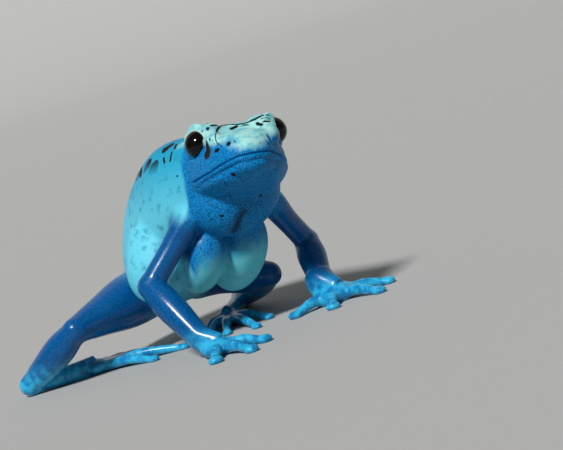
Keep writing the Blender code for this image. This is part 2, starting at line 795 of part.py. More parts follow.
def finish_node(name, bm, collection):
    """Scale a node to metres about the middle of its footprint and give it its material."""
    obj = mesh_object(name, bm)
    obj.data.transform(Matrix.Scale(MM, 4) @ Matrix.Translation(-FOOTPRINT_CENTRE))
    bpy.context.scene.collection.objects.unlink(obj)
    collection.objects.link(obj)
    kind = skin_kind(name)
    material = bpy.data.materials.new(name + "_skin")
    material.use_nodes = True
    shader = material.node_tree.nodes["Principled BSDF"]
    shader.inputs["Base Color"].default_value = (*SKIN[kind], 1)
    shader.inputs["Roughness"].default_value = EYE_ROUGHNESS if kind == "eye" else SKIN_ROUGHNESS
    shader.inputs["Metallic"].default_value = 0
    obj.data.materials.append(material)
    obj.data.shade_smooth()
    return obj


def new_collection(name):
    collection = bpy.data.collections.new(name)
    bpy.context.scene.collection.children.link(collection)
    return collection


def cut_body(body):
    cutters = face_cutters(body) + root_cutters()
    for centre, normal, radius in joint_cuts():
        cutters.append(drum("joint_cutter", centre, normal, radius, GAP))
    cutters.append(ground_cutter())
    guides = new_collection("cutters")
    for cutter in cutters:
        bpy.context.scene.collection.objects.unlink(cutter)
        guides.objects.link(cutter)
        cutter.hide_render = True
        cutter.display_type = "WIRE"
        boolean(body, cutter, "DIFFERENCE")
    apply_modifiers(body)


def build():
    clear_scene()
    body = whole_body()
    thin_out(body, SOLID_TRIANGLES)
    cut_body(body)
    frog = new_collection("blue_poison_dart_frog")
    part_nodes(body, frog)
    bpy.data.objects.remove(body)
    for side in (RIGHT, LEFT):
        eye = bmesh.new()
        place = HEAD @ Matrix.Translation(eye_centre(side))
        bmesh.ops.create_uvsphere(eye, u_segments=24, v_segments=16, radius=EYE_RADIUS, matrix=place)
        finish_node("eye_" + SIDE_NAMES[side], eye, frog)


if __name__ == "__main__":
    build()
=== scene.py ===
"""Blue poison dart frog: its skin, eyes, markings and gloss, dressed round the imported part.

The skin is one closed surface, grown from the same forms as the solids and then sculpted.
Forms are laid out in millimetres, with the ground at Z = 0, the frog facing -Y and its left
towards +X, and scaled to metres about the middle of the footprint at the end.
"""

from math import cos, pi, radians, sin

import bmesh
import bpy
import numpy as np
from mathutils import Matrix, Vector
from mathutils.bvhtree import BVHTree


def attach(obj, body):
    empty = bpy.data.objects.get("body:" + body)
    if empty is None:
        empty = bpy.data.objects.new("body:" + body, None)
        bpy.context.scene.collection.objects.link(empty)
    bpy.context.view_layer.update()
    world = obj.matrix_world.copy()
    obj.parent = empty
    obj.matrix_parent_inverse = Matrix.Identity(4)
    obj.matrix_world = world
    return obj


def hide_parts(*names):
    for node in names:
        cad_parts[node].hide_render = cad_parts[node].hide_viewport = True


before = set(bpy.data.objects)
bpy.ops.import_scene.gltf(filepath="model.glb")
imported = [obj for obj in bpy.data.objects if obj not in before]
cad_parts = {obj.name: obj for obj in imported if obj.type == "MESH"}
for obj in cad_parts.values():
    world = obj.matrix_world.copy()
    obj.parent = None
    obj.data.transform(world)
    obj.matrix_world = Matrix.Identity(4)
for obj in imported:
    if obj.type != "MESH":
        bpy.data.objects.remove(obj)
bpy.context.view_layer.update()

MM = 0.001

# Driving sizes, in millimetres
HEAD_WIDTH = 12.9
BODY_WIDTH = 16.8
EYE_RADIUS = 1.85
EYE_SPACING = 9.8
FOOTPRINT_CENTRE = Vector((-6.70, -4.33, 0.0))
TO_ROW = Matrix.Scale(MM, 4) @ Matrix.Translation(-FOOTPRINT_CENTRE)

# Fineness of the skin, and how much finer than the solids it is
VOXEL = 0.16
SOLID_VOXEL = 0.28
FILLET_ROUNDS, SMOOTHING_ROUNDS = 14, 3
ROUNDS_SCALE = (SOLID_VOXEL / VOXEL) ** 2

RIGHT, LEFT = -1, 1
SIDE_NAMES = {RIGHT: "right", LEFT: "left"}

# How the head is held: the middle of its frame is midway between the eyes
HEAD_CENTRE = Vector((0.0, -15.0, 25.0))
HEAD_YAW, HEAD_PITCH, HEAD_ROLL = -13.0, -6.5, 8.5
HEAD = (
    Matrix.Translation(HEAD_CENTRE)
    @ Matrix.Rotation(radians(HEAD_YAW), 4, "Z")
    @ Matrix.Rotation(radians(HEAD_PITCH), 4, "X")
    @ Matrix.Rotation(radians(HEAD_ROLL), 4, "Y")
)

# The body leans over to the frog's left
LEAN = 15.0
LEANING = Matrix.Rotation(radians(LEAN), 4, "Y")
BODY_SIDE = LEANING @ Vector((1, 0, 0))

# Joints of the limbs
ARM = {
    RIGHT: {"shoulder": (-6.6, -9.6, 17.4), "elbow": (-14.5, -7.4, 10.2), "wrist": (-13.3, -14.4, 2.6)},
    LEFT: {"shoulder": (4.6, -8.8, 15.6), "elbow": (10.3, -5.0, 8.0), "wrist": (7.8, -10.2, 2.7)},
}
LEG = {
    RIGHT: {"hip": (-6.5, 9.2, 7.9), "knee": (-22.6, 1.8, 7.2), "heel": (-27.6, 10.5, 1.45)},
    LEFT: {"hip": (0.0, 10.0, 7.5), "knee": (6.0, 0.2, 5.0), "heel": (8.0, 14.5, 1.45)},
}

# Palm and fingers, from the inner finger to the outer: where each tip rests
HAND = {
    RIGHT: {
        "palm": (-12.2, -16.4, 0.95),
        "tips": [(-8.8, -17.6), (-7.6, -20.6), (-11.4, -23.8), (-15.4, -21.4)],
    },
    LEFT: {
        "palm": (8.2, -12.0, 0.95),
        "tips": [(1.5, -12.3), (4.8, -17.0), (10.8, -19.2), (15.0, -14.8)],
    },
}
# Sole and toes, from the inner toe to the outer
FOOT = {
    RIGHT: {
        "sole": (-19.2, 7.2, 0.9),
        "tips": [(-15.6, 9.2), (-12.8, 6.6), (-10.6, 2.8), (-9.9, -1.2), (-14.6, -1.2)],
    },
    LEFT: {
        "sole": (0.3, 4.8, 0.9),
        "tips": [(-3.7, 5.0), (-4.9, 0.8), (-4.7, -4.0), (-2.2, -8.0), (1.6, -4.6)],
    },
}


def smooth_rows(rows, steps):
    """Rows of numbers read from a smooth curve through the given rows."""
    rows = np.array(rows, float)
    ends = np.vstack([2 * rows[0] - rows[1], rows, 2 * rows[-1] - rows[-2]])
    out = []
    for i in range(len(rows) - 1):
        before, here, after, beyond = ends[i : i + 4]
        for t in np.arange(steps) / steps:
            bend = (2 * before - 5 * here + 4 * after - beyond) * t**2
            bend += (3 * here - before - 3 * after + beyond) * t**3
            out.append(0.5 * (2 * here + (after - before) * t + bend))
    out.append(rows[-1])
    return np.array(out)


def section(half_width, rise, drop, box_up, box_down, sides):
    """Sideways and upward places of the points round one section."""
    turn = np.linspace(0, 2 * pi, sides, endpoint=False)
    c, s = np.cos(turn), np.sin(turn)
    power = np.where(s > 0, 2 / box_up, 2 / box_down)
    across = half_width * np.sign(c) * np.abs(c) ** power
    upward = np.where(s > 0, rise, drop) * np.sign(s) * np.abs(s) ** power
    return across.tolist(), upward.tolist()


def mesh_object(name, bm):
    mesh = bpy.data.meshes.new(name)
    bm.to_mesh(mesh)
    bm.free()
    obj = bpy.data.objects.new(name, mesh)
    bpy.context.scene.collection.objects.link(obj)
    return obj


def loft(name, rings):
    """A closed surface through rings of as many points each."""
    bm = bmesh.new()
    loops = [[bm.verts.new(p) for p in ring] for ring in rings]
    for a, b in zip(loops, loops[1:]):
        for i in range(len(a)):
            j = (i + 1) % len(a)
            bm.faces.new((a[i], a[j], b[j], b[i]))
    bm.faces.new(loops[0][::-1])
    bm.faces.new(loops[-1])
    bmesh.ops.recalc_face_normals(bm, faces=bm.faces)
    return mesh_object(name, bm)


def sweep(name, stations, side, steps=6, sides=24, place=Matrix()):
    """A body with a section at each station: x, y, z, half width, rise, drop, box up, box down."""
    rows = smooth_rows(stations, steps)
    rings = []
    for i, row in enumerate(rows):
        ahead = rows[min(i + 1, len(rows) - 1)][:3]
        behind = rows[max(i - 1, 0)][:3]
        along = Vector(ahead - behind).normalized()
        across_axis = (Vector(side) - Vector(side).dot(along) * along).normalized()
        up_axis = along.cross(across_axis)
        half_width, rise, drop = np.maximum(row[3:6], 0.05)
        across, upward = section(half_width, rise, drop, row[6], row[7], sides)
        centre = Vector(row[:3])
        rings.append([place @ (centre + across_axis * a + up_axis * u) for a, u in zip(across, upward)])
    return loft(name, rings)


def limb(name, stations, side=(0, 0, 1), steps=5, sides=16):
    """A tube of oval section: each station is a point, a half width and a half height."""
    return sweep(name, [(*p, w, h, h, 2, 2) for p, w, h in stations], side, steps, sides)


def ball(name, centre, radii, place=Matrix(), turn=Matrix()):
    bm = bmesh.new()
    shape = place @ Matrix.Translation(centre) @ turn @ Matrix.Diagonal((*radii, 1))
    bmesh.ops.create_uvsphere(bm, u_segments=64, v_segments=40, radius=1, matrix=shape)
    return mesh_object(name, bm)


def between(a, b, t):
    return Vector(a).lerp(Vector(b), t)


# Torso, from the vent to the neck: x, y, z, half width, rise, drop, box up, box down
HALF_BODY = BODY_WIDTH / 2
TORSO = [
    (-4.0, 13.6, 4.4, 0.3, 0.3, 0.3, 2, 2),
    (-4.0, 13.0, 5.2, 0.30 * HALF_BODY, 2.0, 1.8, 2.1, 2),
    (-4.0, 11.2, 7.2, 0.59 * HALF_BODY, 4.4, 3.6, 2.2, 2.1),
    (-3.8, 8.2, 9.8, 0.79 * HALF_BODY, 7.0, 5.6, 2.2, 2.3),
    (-3.3, 4.2, 12.8, 0.88 * HALF_BODY, 9.2, 7.0, 2.3, 2.4),
    (-2.6, -0.4, 16.0, 0.92 * HALF_BODY, 9.6, 7.4, 2.4, 2.3),
    (-1.9, -4.8, 18.6, 0.92 * HALF_BODY, 8.4, 6.8, 2.6, 2.2),
    (-1.1, -8.6, 20.2, 0.82 * HALF_BODY, 6.4, 6.8, 2.4, 2.1),
    (-0.2, -12.0, 21.2, 0.70 * HALF_BODY, 4.4, 5.4, 2.3, 2.1),
    (0.2, -15.0, 21.8, 0.50 * HALF_BODY, 2.6, 3.6, 2.2, 2.1),
]

# Soft forms of the throat and belly: centre and radii
THROAT = ((-0.9, -11.1, 18.1), (6.7, 4.8, 5.4))
THROAT_TILT = -8.0
BELLY_PITCH = 38.0
BELLY_LOBES = {
    RIGHT: ((-6.2, -6.8, 11.0), (3.1, 3.4, 4.9)),
    LEFT: ((-0.5, -6.4, 10.4), (3.8, 3.8, 6.2)),
}
FLANK_FOLD = [
    ((-7.4, 0.6, 15.8), 3.9),
    ((-9.1, -0.5, 12.4), 4.4),
    ((-9.6, -0.8, 10.4), 4.5),
    ((-9.2, -0.4, 8.6), 3.9),
]

# Folds of the soft skin: the line each follows, how deep it goes and its half width
FOLDS = [
    ([(-3.1, -10.1, 13.3), (-3.9, -9.4, 10.3), (-4.5, -7.5, 8.0), (-4.8, -6.3, 7.1)], 0.50, 0.60),
    ([(-2.5, -15.3, 15.8), (-3.1, -14.6, 14.7), (-3.6, -13.5, 13.8), (-3.4, -11.5, 13.0)], 0.50, 0.60),
    ([(-7.3, -11.9, 16.2), (-7.1, -10.0, 14.7), (-6.3, -7.5, 13.4)], 0.35, 0.45),
]


def trunk_forms():
    forms = [sweep("torso_form", TORSO, BODY_SIDE, steps=5, sides=64)]
    along = LEANING @ Matrix.Rotation(radians(BELLY_PITCH), 4, "X")
    for centre, radii in BELLY_LOBES.values():
        forms.append(ball("belly_form", centre, radii, turn=along))
    flank = [(point, radius, radius) for point, radius in FLANK_FOLD]
    forms.append(limb("flank_form", flank, (0, 1, 0), sides=24))
    return forms


# Head, from the neck to the snout: y, top, widest level, bottom, half width, box of the top
HALF_HEAD = HEAD_WIDTH / 2
HEAD_SECTIONS = [
    (13.0, -2.0, -4.0, -7.0, 0.50 * HALF_HEAD, 2.2),
    (10.0, 0.5, -3.9, -8.2, 0.80 * HALF_HEAD, 2.3),
    (7.5, 1.6, -3.9, -8.6, 0.92 * HALF_HEAD, 2.4),
    (5.0, 1.9, -4.0, -8.6, 0.98 * HALF_HEAD, 2.6),
    (2.0, 2.0, -4.4, -8.0, 1.00 * HALF_HEAD, 2.6),
    (-0.5, 1.95, -4.4, -7.4, 0.95 * HALF_HEAD, 2.7),
    (-3.0, 1.4, -4.0, -6.9, 0.84 * HALF_HEAD, 2.9),
    (-5.2, 0.6, -3.2, -6.3, 0.68 * HALF_HEAD, 3.1),
    (-7.0, -0.2, -3.1, -5.6, 0.50 * HALF_HEAD, 2.8),
    (-8.1, -0.9, -3.1, -5.1, 0.34 * HALF_HEAD, 2.5),
    (-8.7, -1.8, -3.1, -4.4, 0.17 * HALF_HEAD, 2.2),
    (-8.85, -2.8, -3.1, -3.5, 0.03 * HALF_HEAD, 2.0),
]
JAW_BOX = 2.3
CHEEK_SHIFT = -0.3

# The line of the mouth: level at each heading, from the tip of the snout to the corner
MOUTH_CORNER_HEADING = 98.0
MOUTH_LEVELS = [(0.0, -3.0), (15.0, -3.05), (30.0, -3.5), (50.0, -4.1), (75.0, -4.45), (100.0, -4.7)]
LIP_RADIUS = 0.45
LIP_RAISED = 0.12

# Places on the left of the head, in its own frame
NOSTRIL = (2.6, -7.0, -1.3)
EAR = (6.0, 2.9, -1.2)
EAR_RADIUS = 0.95
# The lids: the swelling that carries the eye, the thin lid round it and the ridge over it
ORBIT = ((3.5, 0.3, 0.05), (2.5, 2.8, 2.45))
LID_RADIUS = EYE_RADIUS + 0.55
LID_RIDGE = [
    ((4.5, -2.1, 0.5), 0.60),
    ((4.9, -1.2, 1.5), 0.85),
    ((5.2, 0.2, 1.9), 0.95),
    ((5.2, 1.6, 1.3), 0.85),
]
# The opening of the lids: which way it faces on each side, and degrees from there to their edge
LID_AXIS = {RIGHT: (-0.82, -0.58, 0.0), LEFT: (0.95, -0.30, 0.1)}
LID_OPENING = 68.0
# The ridge from each eye to its nostril: places on it, and its half widths
BROW_RIDGE = [((3.9, -0.8, 0.5), 1.6), ((3.7, -3.6, -0.5), 1.35), ((2.7, -6.2, -1.6), 0.95)]


def skull():
    stations = [
        (CHEEK_SHIFT, y, level, w, top - level, level - bottom, box, JAW_BOX)
        for y, top, level, bottom, w, box in HEAD_SECTIONS
    ]
    return sweep("skull_form", stations, (1, 0, 0), steps=5, sides=44, place=HEAD)


def eye_centre(side):
    return Vector((side * EYE_SPACING / 2, 0, 0))


def surface_point(tree, heading, level):
    """Where the head's surface lies at a heading from the snout, at a level in its frame."""
    out = Matrix.Rotation(radians(heading), 4, "Z") @ Vector((0, -1, 0))
    middle = Vector((0, 0, level))
    start = HEAD @ (middle + out * 20)
    hit = tree.ray_cast(start, HEAD.to_3x3() @ -out)
    return hit[0], hit[1]


def mouth_path(tree, lift=0.0, count=41):
    """Points and outward normals along the line of the mouth, right corner to left corner."""
    headings = np.linspace(-MOUTH_CORNER_HEADING, MOUTH_CORNER_HEADING, count)
    turns, levels = zip(*MOUTH_LEVELS)
    points = []
    for heading in headings:
        level = np.interp(abs(heading), turns, levels) + lift
        points.append(surface_point(tree, heading, level))
    return points


def lip_forms(head_form):
    """Soft rolls above and below the line of the mouth."""
    tree = BVHTree.FromObject(head_form, bpy.context.evaluated_depsgraph_get())
    forms = []
    for lift in (1, -1):
        path = mouth_path(tree, lift * LIP_RADIUS)
        stations = []
        for i, (point, normal) in enumerate(path):
            taper = min(1, (min(i, len(path) - 1 - i) + 1) / 6)
            radius = LIP_RADIUS * taper
            stations.append((point + normal * (LIP_RAISED - radius), radius, radius))
        forms.append(limb("lip_form", stations, HEAD.to_3x3() @ Vector((0, 0, 1)), steps=1, sides=12))
    return forms


def on_head(side, place):
    """A place given for the left of the head, on either side of it, in the body's frame."""
    x, y, z = place
    return HEAD @ Vector((side * x, y, z))


def head_forms():
    head_form = skull()
    forms = [head_form] + lip_forms(head_form)
    for side in (RIGHT, LEFT):
        (x, y, z), radii = ORBIT
        forms.append(ball("orbit_form", (side * x, y, z), radii, place=HEAD))
        forms.append(ball("lid_form", eye_centre(side), (LID_RADIUS,) * 3, place=HEAD))
        for ridge in (LID_RIDGE, BROW_RIDGE):
            forms.append(limb("brow_form", [(on_head(side, point), r, r) for point, r in ridge]))
    return forms


FINGER_RADIUS, FINGER_END = 0.76, 0.60
TOE_RADIUS, TOE_END = 0.70, 0.52
DISC_RADII = (1.05, 0.95, 0.60)
TOE_DISC_RADII = (0.78, 0.85, 0.52)
THIGH_BULK = {RIGHT: 1.12, LEFT: 0.86}
HAND_BREADTH = {RIGHT: 1.0, LEFT: 1.3}


def digits(root, tips, radius, end, disc, spread):
    """Digits that fan from the edge of a palm or sole and end in flat discs on the ground."""
    forms = []
    root = Vector(root)
    for tip in tips:
        away = Vector((*tip, 0)) - Vector((root.x, root.y, 0))
        heading = away.normalized()
        start = root + heading * spread * 0.5
        knuckle = root + away * 0.55
        stations = [
            ((start.x, start.y, root.z * 0.85), radius * 1.15, radius * 1.1),
            ((knuckle.x, knuckle.y, radius + 0.30), radius, radius),
            ((tip[0] - heading.x * 0.8, tip[1] - heading.y * 0.8, end - 0.10), end, end),
            ((tip[0], tip[1], end - 0.15), end, end),
        ]
        forms.append(limb("digit_form", stations, steps=4, sides=12))
        face = Matrix.Rotation(np.arctan2(heading.y, heading.x) + pi / 2, 4, "Z")
        forms.append(ball("disc_form", (tip[0], tip[1], disc[2] - 0.2), disc, turn=face))
    return forms


def arm_forms(side):
    shoulder, elbow, wrist = (Vector(ARM[side][key]) for key in ("shoulder", "elbow", "wrist"))
    palm, tips = Vector(HAND[side]["palm"]), HAND[side]["tips"]
    chest = shoulder + Vector((-side * 2.2, 0.8, 0.8))
    breadth = HAND_BREADTH[side]
    forms = [
        limb("upper_arm_form", [
            (chest, 2.4, 2.4),
            (shoulder, 2.1, 2.1),
            (between(shoulder, elbow, 0.5), 1.6, 1.6),
            (elbow, 1.6, 1.6),
        ]),
        ball("elbow_form", elbow, (1.75, 1.75, 1.75)),
        limb("forearm_form", [
            (elbow, 1.7, 1.7),
            (between(elbow, wrist, 0.35), 2.1, 2.0),
            (between(elbow, wrist, 0.75), 1.85, 1.75),
            (wrist, 1.65 * breadth, 1.5 * breadth),
        ]),
        limb("wrist_form", [
            (between(elbow, wrist, 0.85), 1.7 * breadth, 1.6 * breadth),
            (wrist, 1.75 * breadth, 1.5 * breadth),
            (palm, 2.0 * breadth, 1.1 * breadth),
        ]),
        ball("palm_form", palm, (2.35 * breadth, 2.2 * breadth, 1.2 * breadth)),
    ]
    return forms + digits(palm, tips, FINGER_RADIUS, FINGER_END, DISC_RADII, 1.9)


def leg_forms(side):
    hip, knee, heel = (Vector(LEG[side][key]) for key in ("hip", "knee", "heel"))
    bulk = THIGH_BULK[side]
    sole, tips = Vector(FOOT[side]["sole"]), FOOT[side]["tips"]
    forms = [
        limb("thigh_form", [
            (hip, 3.7, 3.7),
            (between(hip, knee, 0.35), 3.3 * bulk, 3.3 * bulk),
            (between(hip, knee, 0.7), 2.65, 2.65),
            (knee, 1.75, 1.75),
        ]),
        ball("knee_form", knee, (1.8, 1.8, 1.8)),
        limb("shank_form", [
            (knee, 1.65, 1.65),
            (between(knee, heel, 0.35), 2.1, 2.05),
            (between(knee, heel, 0.75), 1.8, 1.75),
            (heel, 1.55, 1.45),
        ]),
        ball("heel_form", heel, (1.7, 1.7, 1.6)),
        limb("tarsus_form", [
            (heel, 1.35, 1.4),
            (between(heel, sole, 0.5), 1.25, 1.15),
            (sole, 1.7, 0.95),
        ]),
        ball("sole_form", sole, (1.9, 1.9, 1.05)),
    ]
    return forms + digits(sole, tips, TOE_RADIUS, TOE_END, TOE_DISC_RADII, 1.8)


def join(name, forms):
    bm = bmesh.new()
    for form in forms:
        bm.from_mesh(form.data)
        mesh = form.data
        bpy.data.objects.remove(form)
        bpy.data.meshes.remove(mesh)
    return mesh_object(name, bm)


def apply_modifiers(obj):
    graph = bpy.context.evaluated_depsgraph_get()
    mesh = bpy.data.meshes.new_from_object(obj.evaluated_get(graph))
    obj.modifiers.clear()
    obj.data = mesh


def fuse(obj, voxel):
    remesh = obj.modifiers.new("fuse", "REMESH")
    remesh.mode = "VOXEL"
    remesh.voxel_size = voxel
    remesh.adaptivity = 0
    apply_modifiers(obj)


def mesh_points(obj):
    points = np.empty(len(obj.data.vertices) * 3)
    obj.data.vertices.foreach_get("co", points)
    return points.reshape(-1, 3)


def mesh_normals(obj):
    normals = np.empty(len(obj.data.vertices) * 3)
    obj.data.vertex_normals.foreach_get("vector", normals)
    return normals.reshape(-1, 3)


def relax(obj, rounds, strength):
    """Move each point towards the mean of its neighbours, by its own strength."""
    mesh = obj.data
    points = mesh_points(obj)
    count = len(points)
    edges = np.empty(len(mesh.edges) * 2, int)
    mesh.edges.foreach_get("vertices", edges)
    a, b = edges.reshape(-1, 2).T
    links = np.bincount(a, minlength=count) + np.bincount(b, minlength=count)
    weight = strength(points)[:, None]
    for _ in range(rounds):
        total = np.zeros_like(points)
        for axis in range(3):
            total[:, axis] = np.bincount(a, points[b, axis], count) + np.bincount(b, points[a, axis], count)
        points += weight * (total / links[:, None] - points)
    mesh.vertices.foreach_set("co", points.ravel())
    mesh.update()


def near(points, centre, reach):
    """One at the centre, falling smoothly to nothing at the reach."""
    distance = np.linalg.norm(points - np.array(centre), axis=1)
    t = np.clip(1 - distance / reach, 0, 1)
    return t * t * (3 - 2 * t)


def fillet_strength(points):
    """How softly the skin runs over the places where limbs join the body."""
    soft = np.zeros(len(points))
    for side in (RIGHT, LEFT):
        for centre, reach in (
            (ARM[side]["shoulder"], 6.5),
            (ARM[side]["elbow"], 3.2),
            (LEG[side]["knee"], 4.2),
            (LEG[side]["heel"], 3.5),
            (between(LEG[side]["hip"], LEG[side]["knee"], 0.3), 8.0),
        ):
            soft = np.maximum(soft, near(points, centre, reach))
    soft = np.maximum(soft, near(points, FLANK_FOLD[0][0], 9.0))
    soft = np.maximum(soft, near(points, THROAT[0], 10.0) * (points[:, 2] < 18.5))
    return 0.5 * soft


def even_strength(points):
    return np.full(len(points), 0.45)


def line_distance(points, line):
    """How far each point is from a chain of straight pieces, and how far along it that is (0 to 1)."""
    line = np.array([tuple(p) for p in line])
    best = np.full(len(points), 1e9)
    along = np.zeros(len(points))
    for i, (a, b) in enumerate(zip(line, line[1:])):
        ab = b - a
        t = np.clip((points - a) @ ab / (ab @ ab), 0, 1)
        gap = np.linalg.norm(points - (a + t[:, None] * ab), axis=1)
        closer = gap < best
        best = np.where(closer, gap, best)
        along = np.where(closer, (i + t) / (len(line) - 1), along)
    return best, along


def press_folds(obj):
    """Press soft folds into the skin, each fading towards its ends."""
    points, normals = mesh_points(obj), mesh_normals(obj)
    for line, depth, half_width in FOLDS:
        gap, along = line_distance(points, line)
        fade = np.sqrt(np.sin(pi * np.clip(along, 0.02, 0.98)))
        points -= normals * (depth * fade * np.exp(-((gap / half_width) ** 2)))[:, None]
    obj.data.vertices.foreach_set("co", points.ravel())
    obj.data.update()


def whole_body():
    forms = trunk_forms() + head_forms()
    forms.append(ball("throat_form", *THROAT, turn=Matrix.Rotation(radians(THROAT_TILT), 4, "Y")))
    for side in (RIGHT, LEFT):
        forms += arm_forms(side) + leg_forms(side)
    body = join("body", forms)
    fuse(body, VOXEL)
    relax(body, round(FILLET_ROUNDS * ROUNDS_SCALE), fillet_strength)
    press_folds(body)
    relax(body, round(SMOOTHING_ROUNDS * ROUNDS_SCALE), even_strength)
    return body


def cast_inward(tree, side, place):
    """The surface point nearest a place on the right or left of the head, and its normal."""
    point, normal, _, _ = tree.find_nearest(on_head(side, place))
    return point, normal


def to_head(points):
    """The same places in the head's own frame."""
    back = np.array(HEAD.inverted())
    return points @ back[:3, :3].T + back[:3, 3]


def from_head(points):
    """Places in the head's frame, in the body's."""
    forward = np.array(HEAD)
    return points @ forward[:3, :3].T + forward[:3, 3]


def smooth_step(low, high, value):
    t = np.clip((value - low) / (high - low), 0, 1)
    return t * t * (3 - 2 * t)


def bell(distance, width):
    return np.exp(-((distance / width) ** 2))


def point_distance(points, centre):
    return np.linalg.norm(points - np.array(centre), axis=1)


def subdivide_near(obj, centres, reach):
    """Split the faces within reach of any of the centres into four."""
    bm = bmesh.new()
    bm.from_mesh(obj.data)
    middles = np.array([face.calc_center_median() for face in bm.faces])
    close = np.zeros(len(middles), bool)
    for centre in centres:
        close |= point_distance(middles, centre) < reach
    bm.faces.ensure_lookup_table()
    edges = {edge for i in np.flatnonzero(close) for edge in bm.faces[i].edges}
    bmesh.ops.subdivide_edges(bm, edges=list(edges), cuts=1, use_grid_fill=True)
    bmesh.ops.triangulate(bm, faces=[face for face in bm.faces if len(face.verts) > 4])
    bm.to_mesh(obj.data)
    bm.free()


# How near the skin is split finer: round the mouth and nostrils, along the mouth, round the eyes and
# along the edge of the lids
MOUTH_NEAR, MOUTH_NEAREST = 0.9, 0.35
EYE_NEAR, LIDS_NEAR = 3.6, 0.45
# Line of the mouth: depth and half width of its groove, the share of its length over which each end
# fades, and how deep it stays there
MOUTH_GROOVE = (0.30, 0.10)
MOUTH_FADE, MOUTH_END_DEPTH = 0.03, 0.35
# Crease under the lower lip, from the right to the middle: degrees round the head, and its level
LIP_CREASE = [(-80, -5.3), (-64, -5.05), (-45, -4.75), (-28, -4.35), (-15, -3.95), (0, -3.9)]
CREASE_GROOVE = (0.30, 0.32)
# Fold that runs round behind the corner of the mouth, on the right of the head
CORNER_FOLD = [(-7.0, 2.1, -4.4), (-6.65, 0.7, -5.3), (-5.8, -1.1, -5.75)]
FOLD_GROOVE = (0.14, 0.15)
# Hollow of the cheek in front of each eye, in the head's frame, with its depth and half width
EYE_HOLLOW = (4.95, -3.3, -0.2)
HOLLOW_SIZE = (0.42, 1.2)
# Nostrils: depth and half width of the pit; height, radius and half width of the rim
NOSTRIL_PIT = (0.55, 0.30)
NOSTRIL_LIP = (0.10, 0.55, 0.22)
# Ear discs: height and half width of the rim, and how far the disc is sunk
EAR_LIP = (0.07, 0.16)
EAR_SUNK = 0.05
# How far the edge of the lids stands off the eyeball, and how fast the lid rises behind it
LID_STANDOFF = 0.13
LID_RISE = 1.6
# Radians behind the edge over which the lids are shaped, and how far from the eye's middle this reaches
LID_REACH = 0.5
LID_LIMIT = 3.4
# Radians within which points are moved onto the edge
EDGE_SNAP = 0.025
# Skin inside the lids sinks to this share of the eyeball's radius; behind them it is kept this far off it
SUNK_SHARE = 0.8
LID_CLEARANCE = 0.08
LID_DEEPEST = 0.5
EDGE_ROUNDS = 2


def ray_line(tree, stations):
    return [surface_point(tree, turn, level)[0] for turn, level in stations]


def mirrored(line):
    return [(-x, y, z) for x, y, z in line]


def lid_axis(side):
    return np.array(Vector(LID_AXIS[side]).normalized())


def lid_edge(side, count=60):
    """Points round the edge of the lids."""
    turn = Vector(lid_axis(side)).to_track_quat("Z", "Y").to_matrix()
    opening = radians(LID_OPENING)
    edge = []
    for heading in np.linspace(0, 2 * pi, count, endpoint=False):
        out = turn @ Vector((sin(opening) * cos(heading), sin(opening) * sin(heading), cos(opening)))
        edge.append(HEAD @ (eye_centre(side) + out * (EYE_RADIUS + LID_STANDOFF)))
    return edge


def open_eye(points, side):
    """Sink the skin inside the lids behind the eyeball, and gather the lids round it."""
    place = to_head(points) - np.array(eye_centre(side))
    reach = np.linalg.norm(place, axis=1)
    outward = place / np.maximum(reach, 1e-6)[:, None]
    axis = lid_axis(side)
    turned = np.arccos(np.clip(outward @ axis, -1, 1))
    past = turned - radians(LID_OPENING)
    close = reach < LID_LIMIT
    inside = close & (past < 0)
    rim = EYE_RADIUS + LID_STANDOFF
    slope = close & (past >= 0) & (past < LID_REACH)
    ceiling = rim + LID_RISE * np.maximum(past, 0)
    blend = smooth_step(LID_REACH, 0.5 * LID_REACH, past)
    gathered = reach + blend * (np.minimum(reach, ceiling) - reach)
    shallow = reach > EYE_RADIUS - LID_DEEPEST
    lifted = np.where(shallow, np.maximum(gathered, EYE_RADIUS + LID_CLEARANCE), gathered)
    new_reach = np.where(inside, np.minimum(reach, SUNK_SHARE * EYE_RADIUS), reach)
    new_reach = np.where(slope, lifted, new_reach)
    # Points beside the edge are moved onto it, for one clean line
    snapped = close & (np.abs(past) < EDGE_SNAP)
    sideways = outward - axis * np.cos(turned)[:, None]
    sideways /= np.maximum(np.linalg.norm(sideways, axis=1), 1e-6)[:, None]
    opening = radians(LID_OPENING)
    on_edge = axis * cos(opening) + sideways * sin(opening)
    outward = np.where(snapped[:, None], on_edge, outward)
    new_reach = np.where(snapped, rim, new_reach)
    moved = from_head(outward * new_reach[:, None] + np.array(eye_centre(side)))
    points[close] = moved[close]


